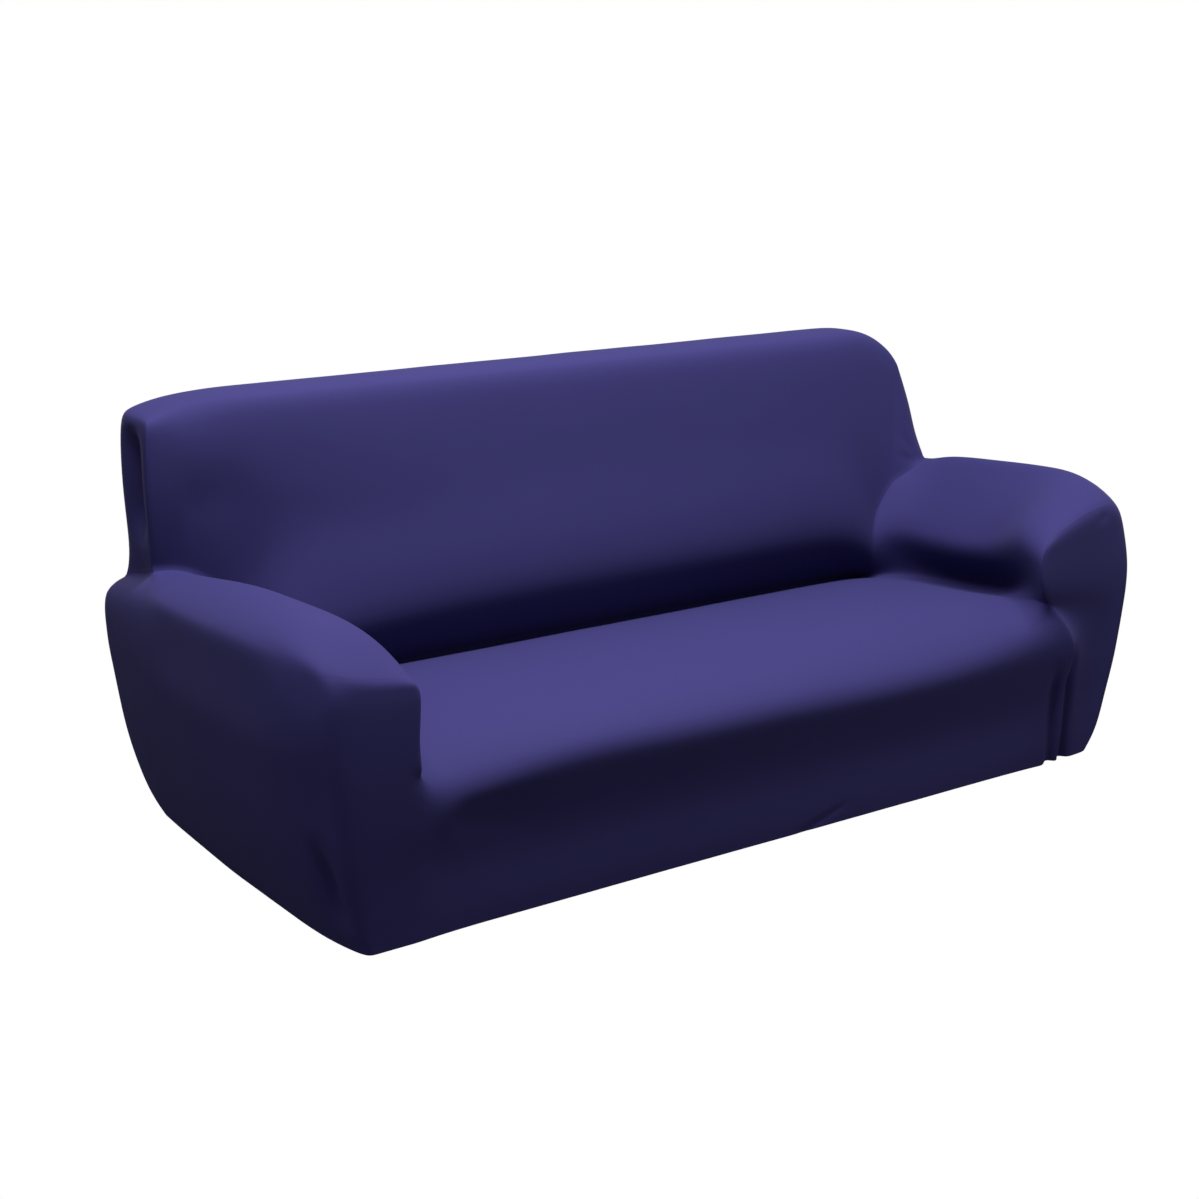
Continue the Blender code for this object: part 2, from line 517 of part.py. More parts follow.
def cut_panel(skin, number, collection):
    """One panel as a closed sheet: its faces, drawn in at the seams and thickened inward."""
    panel = skin.copy()
    inner_step = panel.verts.layers.float_vector.new("inner_step")
    for point in panel.verts:
        point[inner_step] = -point.normal * CLOTH_THICKNESS * min(point.calc_shell_factor(), 1.5)
    seam_edges = {
        edge.index
        for edge in panel.edges
        if len({face.material_index == number for face in edge.link_faces}) == 2
    }
    others = [face for face in panel.faces if face.material_index != number]
    seams = [edge for edge in panel.edges if edge.index in seam_edges]
    bmesh.ops.delete(panel, geom=others, context="FACES")
    draw_in_edges(panel, [edge for edge in seams if edge.is_valid])
    layer = bmesh.ops.extrude_face_region(panel, geom=panel.faces[:], use_keep_orig=True)["geom"]
    inner_points = {item for item in layer if isinstance(item, bmesh.types.BMVert)}
    for point in inner_points:
        point.co += point[inner_step]
    split_rim(panel, inner_points)
    bmesh.ops.recalc_face_normals(panel, faces=panel.faces)
    for face in panel.faces:
        face.material_index = 0
        face.smooth = True
    name = PANELS[number]
    mesh = bpy.data.meshes.new(name)
    panel.to_mesh(mesh)
    panel.free()
    mesh.set_sharp_from_angle(angle=RIM_ANGLE)
    mesh.materials.append(knit_material(f"{name}_knit"))
    collection.objects.link(bpy.data.objects.new(name, mesh))


def main():
    empty_scene()
    collection = bpy.data.collections.new("sofa_slipcover")
    bpy.context.scene.collection.children.link(collection)
    skin = smooth_skin()
    press_folds(skin)
    for number in range(len(PANELS)):
        cut_panel(skin, number, collection)
    skin.free()


main()
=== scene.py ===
# Stretch-knit slipcover in the shape in which it is worn: nine panels of one plain cloth.
# The cover is laid out as blocks on a whole-number grid (columns across, rows from front to back,
# levels from the hem up), each grid point gets its place from the tables, the form is smoothed,
# the folds are pressed in, and the skin is cut along its seams.
# Depths are measured back from the front hem and heights up from the hem, in metres.

import math

import bmesh
import bpy
from mathutils import Matrix, Vector, noise
from mathutils.bvhtree import BVHTree


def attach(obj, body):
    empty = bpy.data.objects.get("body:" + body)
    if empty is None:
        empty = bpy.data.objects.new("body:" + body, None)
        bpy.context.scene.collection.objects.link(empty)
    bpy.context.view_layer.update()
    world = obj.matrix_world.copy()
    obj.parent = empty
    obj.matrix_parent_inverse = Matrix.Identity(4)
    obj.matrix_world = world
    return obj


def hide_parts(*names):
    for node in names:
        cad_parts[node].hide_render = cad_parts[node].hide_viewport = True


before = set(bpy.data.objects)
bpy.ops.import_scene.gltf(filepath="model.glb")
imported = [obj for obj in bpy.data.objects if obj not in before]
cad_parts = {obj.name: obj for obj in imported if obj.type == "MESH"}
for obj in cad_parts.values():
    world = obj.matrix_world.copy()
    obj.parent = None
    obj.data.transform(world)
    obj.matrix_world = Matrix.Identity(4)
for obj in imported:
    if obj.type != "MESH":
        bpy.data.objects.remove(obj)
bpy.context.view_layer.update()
print("frame loaded:", len(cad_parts), "nodes")

coverForm = {
    "topDepth": 0.715,        # where the origin is, under the top roll
    "topHeight": 0.850,
    "smoothing": 4,           # subdivision levels of the block form
    "cloth": 0.002,           # thickness
    "seamGap": 0.0001,        # between two panels
    "unevenness": 0.0008,     # small random swells of the whole cloth
    "broadSwells": 5.0,       # how many of them to a metre or so, broad and fine
    "fineSwells": 11.0,
    "shoulderFollow": 0.6,    # how much of the crown's rise and fall the arm's shoulder follows
    "pathSteps": 6,           # short steps in each straight length of a fold
    "foldReach": 3.0,         # how far a fold is felt, in its own widths
    "cornerLimit": 0.4,       # keeps a sharp seam corner from being drawn in too far
    "thickestCorner": 1.5,    # keeps the inner side of a sharp corner from standing out
    "sharpFrom": 1.0,         # angle in radians from which an edge is shaded sharp
}

# grid lines that bound the blocks
columnCount = 14
rowCount = 7
backEndColumn = 1
armInnerColumn = 3
middleColumn = 7
gussetColumn = 12
backFaceRow = 5
seatLevel = 4
armLevel = 7
topLevel = 10
gussetTopLevel = 9

# from the outer face of an arm to the middle of the seat
columns = (
    {"halfWidth": 1.000, "armShare": 1.00, "backSet": 0.000},
    {"halfWidth": 0.950, "armShare": 0.82, "backSet": 0.010},
    {"halfWidth": 0.875, "armShare": 0.42, "backSet": 0.010},
    {"halfWidth": 0.785, "armShare": 0.00, "backSet": 0.005},
    {"halfWidth": 0.710, "armShare": 0.00, "backSet": 0.000},
    {"halfWidth": 0.490, "armShare": 0.00, "backSet": 0.000},
    {"halfWidth": 0.245, "armShare": 0.00, "backSet": 0.000},
    {"halfWidth": 0.000, "armShare": 0.00, "backSet": 0.000},
)

# from the front to the rear: depth, how far the arm's outer face stands out, lift of the arm's
# crown, and how far the arm's top lies below the crown along its outer and inner edge
rows = (
    {"depth": 0.000, "bulge": -0.016, "crown": -0.032, "outerDrop": 0.070, "innerDrop": 0.075},
    {"depth": 0.090, "bulge": 0.002, "crown": 0.010, "outerDrop": 0.060, "innerDrop": 0.075},
    {"depth": 0.230, "bulge": 0.004, "crown": -0.006, "outerDrop": 0.056, "innerDrop": 0.075},
    {"depth": 0.380, "bulge": 0.004, "crown": -0.018, "outerDrop": 0.052, "innerDrop": 0.075},
    {"depth": 0.500, "bulge": 0.000, "crown": -0.026, "outerDrop": 0.046, "innerDrop": 0.080},
    {"depth": 0.575, "bulge": -0.004, "crown": -0.036, "outerDrop": 0.040, "innerDrop": 0.085},
    {"depth": 0.700, "bulge": -0.010, "crown": -0.050, "outerDrop": 0.034, "innerDrop": 0.075},
    {"depth": 0.805, "bulge": -0.018, "crown": -0.064, "outerDrop": 0.030, "innerDrop": 0.075},
)

# the same rows again: lift of the seat and of its edge along the arm, share of the hollow under
# the arm pad that is open, and how far the pad hangs down over it
seatRows = (
    {"seatLift": -0.035, "edgeLift": 0.000, "hollow": 0.0, "padDrop": 0.000},
    {"seatLift": 0.016, "edgeLift": -0.008, "hollow": 0.4, "padDrop": 0.010},
    {"seatLift": 0.026, "edgeLift": -0.021, "hollow": 1.0, "padDrop": 0.046},
    {"seatLift": 0.016, "edgeLift": -0.029, "hollow": 1.0, "padDrop": 0.062},
    {"seatLift": -0.006, "edgeLift": -0.037, "hollow": 0.8, "padDrop": 0.066},
    {"seatLift": -0.042, "edgeLift": -0.050, "hollow": 0.2, "padDrop": 0.060},
    {"seatLift": 0.000, "edgeLift": 0.000, "hollow": 0.0, "padDrop": 0.000},
    {"seatLift": 0.000, "edgeLift": 0.000, "hollow": 0.0, "padDrop": 0.000},
)

# each level up to the arm's top: half width at the arm's outer and inner face, hollow under the
# pad, and how far the front of the seat and of an arm stands forward
armLevels = (
    {"outer": 0.908, "inner": 0.790, "hollow": 0.000, "seatFront": 0.000, "armFront": 0.008},
    {"outer": 0.936, "inner": 0.790, "hollow": 0.000, "seatFront": 0.002, "armFront": 0.010},
    {"outer": 0.966, "inner": 0.790, "hollow": 0.000, "seatFront": -0.004, "armFront": 0.014},
    {"outer": 0.984, "inner": 0.788, "hollow": 0.000, "seatFront": 0.010, "armFront": 0.020},
    {"outer": 0.997, "inner": 0.780, "hollow": 0.060, "seatFront": 0.022, "armFront": 0.022},
    {"outer": 1.004, "inner": 0.765, "hollow": 0.110, "seatFront": 0.000, "armFront": 0.022},
    {"outer": 1.008, "inner": 0.755, "hollow": -0.010, "seatFront": 0.000, "armFront": 0.020},
    {"outer": 0.994, "inner": 0.778, "hollow": 0.000, "seatFront": 0.000, "armFront": 0.016},
)

# each level from the hem to the top roll: height, depth of the back's front and rear faces
levels = (
    {"height": 0.000, "backFace": 0.575, "rearFace": 0.805},
    {"height": 0.050, "backFace": 0.575, "rearFace": 0.806},
    {"height": 0.140, "backFace": 0.575, "rearFace": 0.807},
    {"height": 0.220, "backFace": 0.575, "rearFace": 0.808},
    {"height": 0.322, "backFace": 0.625, "rearFace": 0.808},
    {"height": 0.365, "backFace": 0.572, "rearFace": 0.807},
    {"height": 0.440, "backFace": 0.556, "rearFace": 0.805},
    {"height": 0.590, "backFace": 0.595, "rearFace": 0.800},
    {"height": 0.660, "backFace": 0.610, "rearFace": 0.797},
    {"height": 0.800, "backFace": 0.634, "rearFace": 0.790},
    {"height": 0.852, "backFace": 0.652, "rearFace": 0.775},
)

# where the stretched cloth is uneven: ranges of columns, rows and levels, and one move each
uneven = (
    # the right shoulder of the back is drawn down and in
    {"columns": (12, 12), "rows": (5, 7), "levels": (10, 10), "move": (-0.022, 0.000, -0.014)},
    {"columns": (13, 13), "rows": (5, 7), "levels": (10, 10), "move": (-0.052, 0.000, -0.052)},
    {"columns": (13, 13), "rows": (5, 7), "levels": (9, 9), "move": (-0.031, 0.000, -0.035)},
    {"columns": (13, 13), "rows": (5, 7), "levels": (8, 8), "move": (0.010, 0.000, 0.000)},
    {"columns": (13, 13), "rows": (5, 5), "levels": (7, 7), "move": (0.022, -0.020, -0.006)},
    {"columns": (13, 13), "rows": (6, 7), "levels": (7, 7), "move": (0.022, 0.000, 0.000)},
    # the gusset under it slants in to the corner of the seat
    {"columns": (12, 12), "rows": (5, 5), "levels": (9, 9), "move": (0.015, 0.000, -0.030)},
    {"columns": (12, 12), "rows": (5, 5), "levels": (8, 8), "move": (0.010, 0.000, -0.020)},
    {"columns": (12, 12), "rows": (5, 5), "levels": (7, 7), "move": (-0.020, -0.012, -0.054)},
    {"columns": (12, 12), "rows": (4, 4), "levels": (7, 7), "move": (0.000, 0.000, -0.014)},
    {"columns": (11, 11), "rows": (5, 5), "levels": (7, 7), "move": (0.010, -0.012, -0.036)},
    {"columns": (11, 11), "rows": (4, 5), "levels": (6, 6), "move": (0.020, 0.000, 0.000)},
    # the left end of the back stands square
    {"columns": (1, 1), "rows": (5, 7), "levels": (10, 10), "move": (0.000, 0.000, -0.028)},
    {"columns": (2, 2), "rows": (5, 7), "levels": (10, 10), "move": (0.000, 0.000, -0.006)},
    {"columns": (1, 1), "rows": (5, 7), "levels": (8, 9), "move": (-0.012, 0.000, 0.000)},
    {"columns": (1, 1), "rows": (5, 5), "levels": (10, 10), "move": (0.000, -0.020, 0.000)},
    {"columns": (1, 1), "rows": (5, 5), "levels": (9, 9), "move": (0.000, -0.010, 0.000)},
    {"columns": (1, 1), "rows": (5, 5), "levels": (8, 8), "move": (0.000, 0.020, 0.000)},
    {"columns": (1, 1), "rows": (5, 5), "levels": (7, 7), "move": (-0.004, 0.060, 0.000)},
    # beside it the back is drawn in above the left arm
    {"columns": (2, 2), "rows": (5, 5), "levels": (9, 9), "move": (0.000, -0.008, -0.012)},
    {"columns": (2, 3), "rows": (5, 5), "levels": (8, 8), "move": (0.000, 0.018, 0.000)},
    {"columns": (2, 3), "rows": (5, 5), "levels": (7, 7), "move": (0.000, 0.048, 0.000)},
    {"columns": (3, 3), "rows": (5, 5), "levels": (6, 6), "move": (0.000, 0.030, 0.000)},
    {"columns": (4, 4), "rows": (5, 5), "levels": (8, 8), "move": (0.000, 0.010, 0.000)},
    {"columns": (4, 4), "rows": (5, 5), "levels": (6, 7), "move": (0.000, 0.026, 0.000)},
    {"columns": (5, 5), "rows": (5, 5), "levels": (6, 7), "move": (0.000, 0.008, 0.000)},
    # the left arm has settled lower than the right one
    {"columns": (0, 0), "rows": (0, 0), "levels": (7, 7), "move": (0.002, 0.004, 0.020)},
    {"columns": (1, 1), "rows": (0, 0), "levels": (7, 7), "move": (0.000, 0.000, -0.056)},
    {"columns": (2, 2), "rows": (0, 0), "levels": (7, 7), "move": (0.000, 0.000, -0.082)},
    {"columns": (3, 3), "rows": (0, 0), "levels": (7, 7), "move": (-0.010, 0.000, -0.012)},
    {"columns": (0, 0), "rows": (1, 1), "levels": (7, 7), "move": (0.002, 0.000, -0.022)},
    {"columns": (1, 1), "rows": (1, 1), "levels": (7, 7), "move": (0.000, 0.000, -0.044)},
    {"columns": (2, 2), "rows": (1, 1), "levels": (7, 7), "move": (0.000, 0.000, -0.028)},
    {"columns": (3, 3), "rows": (1, 1), "levels": (7, 7), "move": (0.000, 0.000, -0.004)},
    {"columns": (0, 0), "rows": (2, 4), "levels": (7, 7), "move": (-0.004, 0.000, -0.010)},
    {"columns": (1, 1), "rows": (2, 4), "levels": (7, 7), "move": (0.000, 0.000, -0.024)},
    {"columns": (2, 3), "rows": (2, 2), "levels": (7, 7), "move": (0.000, 0.000, -0.010)},
    {"columns": (2, 3), "rows": (4, 4), "levels": (7, 7), "move": (0.000, 0.000, -0.008)},
    {"columns": (0, 0), "rows": (5, 5), "levels": (7, 7), "move": (-0.006, 0.000, -0.008)},
    {"columns": (0, 0), "rows": (6, 6), "levels": (7, 7), "move": (-0.014, 0.000, -0.010)},
    {"columns": (0, 0), "rows": (7, 7), "levels": (7, 7), "move": (-0.020, 0.000, -0.018)},
    {"columns": (1, 1), "rows": (5, 7), "levels": (7, 7), "move": (0.006, 0.000, -0.022)},
    {"columns": (2, 3), "rows": (5, 7), "levels": (7, 7), "move": (0.000, 0.000, -0.022)},
    {"columns": (3, 3), "rows": (0, 1), "levels": (5, 6), "move": (-0.022, 0.000, 0.000)},
    {"columns": (0, 0), "rows": (1, 4), "levels": (6, 6), "move": (0.008, 0.000, 0.000)},
    # its front corner is rounded off, most of all towards the top
    {"columns": (0, 0), "rows": (0, 0), "levels": (1, 2), "move": (0.008, 0.010, 0.000)},
    {"columns": (0, 0), "rows": (0, 0), "levels": (3, 7), "move": (0.024, 0.028, 0.000)},
    # the front of the right arm leans in over the seat and stands a little narrower
    {"columns": (11, 11), "rows": (0, 0), "levels": (5, 6), "move": (-0.062, 0.000, 0.000)},
    {"columns": (11, 11), "rows": (1, 1), "levels": (5, 6), "move": (-0.030, 0.000, 0.000)},
    {"columns": (11, 11), "rows": (0, 1), "levels": (5, 5), "move": (0.000, 0.000, 0.024)},
    {"columns": (11, 11), "rows": (0, 0), "levels": (7, 7), "move": (-0.080, 0.000, 0.012)},
    {"columns": (11, 11), "rows": (1, 1), "levels": (7, 7), "move": (-0.070, 0.000, -0.012)},
    {"columns": (12, 12), "rows": (0, 0), "levels": (2, 4), "move": (0.000, 0.010, 0.000)},
    {"columns": (13, 13), "rows": (0, 0), "levels": (7, 7), "move": (0.000, 0.006, -0.008)},
    {"columns": (14, 14), "rows": (0, 1), "levels": (2, 6), "move": (-0.010, 0.000, 0.000)},
    {"columns": (14, 14), "rows": (0, 1), "levels": (0, 1), "move": (0.006, 0.000, 0.000)},
    {"columns": (14, 14), "rows": (0, 0), "levels": (7, 7), "move": (-0.006, 0.026, 0.010)},
    {"columns": (14, 14), "rows": (1, 1), "levels": (7, 7), "move": (0.004, 0.000, 0.010)},
    {"columns": (14, 14), "rows": (5, 7), "levels": (7, 7), "move": (0.000, 0.000, 0.020)},
    # behind it the pad's inner side is steep and hangs over the hollow
    {"columns": (13, 13), "rows": (2, 4), "levels": (7, 7), "move": (-0.004, 0.000, 0.020)},
    {"columns": (12, 12), "rows": (2, 4), "levels": (7, 7), "move": (0.020, 0.000, -0.060)},
    {"columns": (11, 11), "rows": (2, 4), "levels": (7, 7), "move": (0.062, 0.000, -0.066)},
    {"columns": (11, 11), "rows": (2, 4), "levels": (6, 6), "move": (0.066, 0.000, 0.000)},
    {"columns": (11, 11), "rows": (2, 4), "levels": (5, 5), "move": (0.052, 0.000, -0.026)},
    {"columns": (11, 11), "rows": (2, 4), "levels": (4, 4), "move": (-0.045, 0.000, 0.012)},
    {"columns": (11, 11), "rows": (4, 4), "levels": (4, 6), "move": (0.000, 0.030, 0.000)},
    {"columns": (11, 11), "rows": (1, 1), "levels": (6, 6), "move": (0.026, 0.000, 0.000)},
    # the front roll of the seat dips by the left arm and rises beside it
    {"columns": (3, 3), "rows": (0, 0), "levels": (3, 4), "move": (0.000, 0.000, -0.026)},
    {"columns": (4, 4), "rows": (0, 0), "levels": (3, 4), "move": (0.000, 0.000, -0.018)},
    {"columns": (5, 5), "rows": (0, 0), "levels": (3, 4), "move": (0.000, 0.000, 0.016)},
    {"columns": (8, 9), "rows": (0, 0), "levels": (3, 4), "move": (0.000, 0.000, -0.010)},
    # its right end stands full and comes forward past the arm
    {"columns": (10, 10), "rows": (1, 1), "levels": (4, 4), "move": (0.000, 0.000, 0.020)},
    {"columns": (10, 10), "rows": (0, 0), "levels": (4, 4), "move": (-0.014, 0.006, 0.030)},
    {"columns": (10, 10), "rows": (0, 0), "levels": (3, 3), "move": (0.016, -0.018, 0.034)},
    {"columns": (11, 11), "rows": (1, 1), "levels": (4, 4), "move": (-0.040, 0.000, 0.034)},
    {"columns": (11, 11), "rows": (0, 0), "levels": (4, 4), "move": (-0.052, 0.008, 0.040)},
    {"columns": (11, 11), "rows": (0, 0), "levels": (3, 3), "move": (0.006, -0.026, 0.066)},
    {"columns": (11, 11), "rows": (0, 0), "levels": (2, 2), "move": (0.012, -0.014, 0.036)},
    {"columns": (11, 11), "rows": (0, 0), "levels": (1, 1), "move": (0.012, -0.010, 0.016)},
    # the hem of the right arm front sits a little higher
    {"columns": (12, 13), "rows": (0, 0), "levels": (0, 0), "move": (0.000, 0.000, 0.006)},
    {"columns": (14, 14), "rows": (0, 0), "levels": (0, 0), "move": (-0.008, 0.000, 0.014)},
)

# how firm the corner is along each kind of seam, from 0 for round to 1 for sharp: on an arm's
# outer side, along its inner side and over its top
seamFirmness = (
    {"seam": {"backEnd", "insideBack"}, "outer": 0.70, "inner": 0.70, "top": 0.30},
    {"seam": {"armWrap", "outsideBack"}, "outer": 0.50, "inner": 0.50, "top": 0.50},
    {"seam": {"seatAndFront", "insideBack"}, "outer": 0.50, "inner": 0.50, "top": 0.50},
    {"seam": {"seatAndFront", "armWrap"}, "outer": 0.60, "inner": 0.60, "top": 0.60},
    {"seam": {"armFront", "armWrap"}, "outer": 0.10, "inner": 0.55, "top": 0.38},
    {"seam": {"armWrap", "insideBack"}, "outer": 0.70, "inner": 0.70, "top": 0.70},
    {"seam": {"armWrap", "backEnd"}, "outer": 0.85, "inner": 0.85, "top": 0.85},
    {"seam": {"armFront", "seatAndFront"}, "outer": 0.35, "inner": 0.35, "top": 0.35},
)

# each panel: the CAD node it stands for, the size of cloth it was cut from before it was
# stretched, and the area of the cut where that is far from a rectangle
panels = {
    "seatAndFront": {"node": "seat_and_front", "flat": (1.62, 0.88), "area": None},
    "insideBack": {"node": "inside_back", "flat": (1.80, 0.68), "area": None},
    "outsideBack": {"node": "outside_back", "flat": (1.92, 0.80), "area": None},
    "backEndLeft": {"node": "back_end_left", "flat": (0.15, 0.30), "area": None},
    "backEndRight": {"node": "back_end_right", "flat": (0.18, 0.30), "area": None},
    "armWrapLeft": {"node": "arm_wrap_left", "flat": (0.82, 1.02), "area": 0.690},
    "armWrapRight": {"node": "arm_wrap_right", "flat": (0.82, 1.02), "area": 0.700},
    "armFrontLeft": {"node": "arm_front_left", "flat": (0.21, 0.54), "area": 0.084},
    "armFrontRight": {"node": "arm_front_right", "flat": (0.28, 0.55), "area": 0.104},
}
panelNames = list(panels)

# lines within a panel along which it is drawn firm
firmLines = (
    {"columns": (0, 0), "rows": (1, 5), "levels": (7, 7), "firm": 0.35},
    {"columns": (0, 0), "rows": (0, 1), "levels": (7, 7), "firm": 0.12},
    {"columns": (0, 1), "rows": (0, 0), "levels": (7, 7), "firm": 0.16},
    {"columns": (13, 13), "rows": (1, 5), "levels": (7, 7), "firm": 0.30},
    {"columns": (11, 11), "rows": (0, 0), "levels": (2, 4), "firm": 0.60},
    {"columns": (13, 13), "rows": (5, 5), "levels": (9, 10), "firm": 0.20},
    {"columns": (13, 13), "rows": (7, 7), "levels": (9, 10), "firm": 0.20},
    {"columns": (13, 13), "rows": (5, 7), "levels": (10, 10), "firm": 0.10},
)


def mirroredColumn(column):
    return min(column, columnCount - column)


def halfWidth(column, row, level):
    side = mirroredColumn(column)
    plain = columns[side]["halfWidth"]
    underBack = level == armLevel and row >= backFaceRow and side > 0
    if side > armInnerColumn or level > armLevel or underBack:
        return plain
    profile = armLevels[level]
    inner = profile["inner"] + profile["hollow"] * seatRows[row]["hollow"]
    outer = profile["outer"] + rows[row]["bulge"]
    return inner + (outer - inner) * columns[side]["armShare"]


def depth(column, row, level):
    side = mirroredColumn(column)
    backFace = levels[level]["backFace"] + columns[side]["backSet"]
    rearFace = levels[level]["rearFace"]
    if row == 0:
        return -armLevels[level]["armFront" if side <= armInnerColumn else "seatFront"]
    if row == rowCount:
        return rearFace
    if level >= seatLevel and row == backFaceRow:
        return backFace
    if level == topLevel:
        return (backFace + rearFace) / 2
    return rows[row]["depth"]


def height(column, row, level):
    plain = levels[level]["height"]
    side = mirroredColumn(column)
    if level == seatLevel and side > armInnerColumn:
        return plain + seatRows[row]["seatLift"]
    if level == seatLevel and side == armInnerColumn:
        return plain + seatRows[row]["edgeLift"]
    if seatLevel < level < armLevel and side == armInnerColumn:
        return plain - seatRows[row]["padDrop"]
    if level == armLevel - 1 and side == 0:
        return plain + coverForm["shoulderFollow"] * rows[row]["crown"]
    if level == armLevel and side <= armInnerColumn:
        edgeDrop = {0: rows[row]["outerDrop"], armInnerColumn: rows[row]["innerDrop"]}
        return plain + rows[row]["crown"] - edgeDrop.get(side, 0.0)
    return plain


def isWithin(gridPoint, spot):
    ranges = (spot["columns"], spot["rows"], spot["levels"])
    return all(low <= step <= high for step, (low, high) in zip(gridPoint, ranges))


def unevenMove(*gridPoint):
    return sum((Vector(spot["move"]) for spot in uneven if isWithin(gridPoint, spot)), Vector())


def place(column, row, level):
    side = -1 if column < middleColumn else 1
    plain = Vector((
        side * halfWidth(column, row, level),
        depth(column, row, level) - coverForm["topDepth"],
        height(column, row, level) - coverForm["topHeight"],
    ))
    return plain + unevenMove(column, row, level)


def panelOf(centre, normal):
    side = "Left" if centre.x < middleColumn else "Right"
    onArm = mirroredColumn(centre.x) < armInnerColumn
    if normal.y > 0.5:
        return "outsideBack"
    if centre.y > backFaceRow and centre.z > topLevel - 0.1:
        return "insideBack"
    if normal.y < -0.5:
        if centre.y > 0.5:
            inGusset = centre.x > gussetColumn and armLevel < centre.z < gussetTopLevel
            return "backEndRight" if inGusset else "insideBack"
        return "armFront" + side if onArm else "seatAndFront"
    if abs(normal.x) > 0.5:
        return ("backEnd" if centre.z > armLevel else "armWrap") + side
    return "armWrap" + side if onArm else "seatAndFront"


def kindOf(name):
    return name.removesuffix("Left").removesuffix("Right")


def blockForm():
    # the plan is raised level by level, as blocks that are open underneath
    form = bmesh.new()
    bmesh.ops.create_grid(form, x_segments=columnCount, y_segments=rowCount, size=0.5)
    bmesh.ops.scale(form, vec=(columnCount, rowCount, 1.0), verts=form.verts)
    bmesh.ops.translate(form, vec=(columnCount / 2, rowCount / 2, 0.0), verts=form.verts)

    def inArm(centre):
        return not armInnerColumn < centre.x < columnCount - armInnerColumn

    def inBack(centre):
        return centre.y > backFaceRow and backEndColumn < centre.x < columnCount - backEndColumn

    def raiseCells(wanted, steps):
        for _ in range(steps):
            tops = [f for f in form.faces if f.normal.z > 0.5 and wanted(f.calc_center_median())]
            raised = bmesh.ops.extrude_face_region(form, geom=tops)["geom"]
            corners = [g for g in raised if isinstance(g, bmesh.types.BMVert)]
            bmesh.ops.translate(form, vec=(0.0, 0.0, 1.0), verts=corners)
            bmesh.ops.delete(form, geom=[f for f in tops if f.is_valid], context="FACES")
            form.normal_update()

    raiseCells(lambda centre: True, seatLevel)
    raiseCells(lambda centre: inArm(centre) or inBack(centre), armLevel - seatLevel)
    raiseCells(inBack, topLevel - armLevel)
    return form


def stepOnCut(name, column, row, level):
    # where a grid point lies on the flat cut: steps across it and steps along it
    side = mirroredColumn(column)
    if name == "seatAndFront":
        return column, level if row == 0 else seatLevel + row
    if name == "insideBack":
        return column, level if row == backFaceRow else topLevel + row - backFaceRow
    if name == "outsideBack":
        return column, level
    if name.startswith("backEnd"):
        return row - (side - backEndColumn), level
    if name.startswith("armFront"):
        return column, level
    if side == armInnerColumn and level < armLevel:
        return row, level
    if side == 0 and level < armLevel:
        return row, armLevel + armInnerColumn + armLevel - level
    return row, armLevel + armInnerColumn - side


def cutLengths(form):
    # running lengths of the cut, averaged over its grid lines, for each panel and both ways
    spots = {name: {} for name in panels}
    for face in form.faces:
        name = panelNames[face.material_index]
        for point in face.verts:
            grid = tuple(round(step) for step in point.co)
            spots[name][stepOnCut(name, *grid)] = place(*grid)
    lengths = {}
    for name, found in spots.items():
        lengths[name] = []
        for way in (0, 1):
            gaps = {}
            for spot, here in found.items():
                ahead = (spot[0] + 1, spot[1]) if way == 0 else (spot[0], spot[1] + 1)
                if ahead in found:
                    gaps.setdefault(spot[way], []).append((found[ahead] - here).length)
            steps = sorted({spot[way] for spot in found})
            run, total = {}, 0.0
            for step in range(steps[0], steps[-1] + 1):
                run[step] = total
                near = gaps.get(step, [0.0])
                total += sum(near) / len(near)
            lengths[name].append(run)
    return lengths


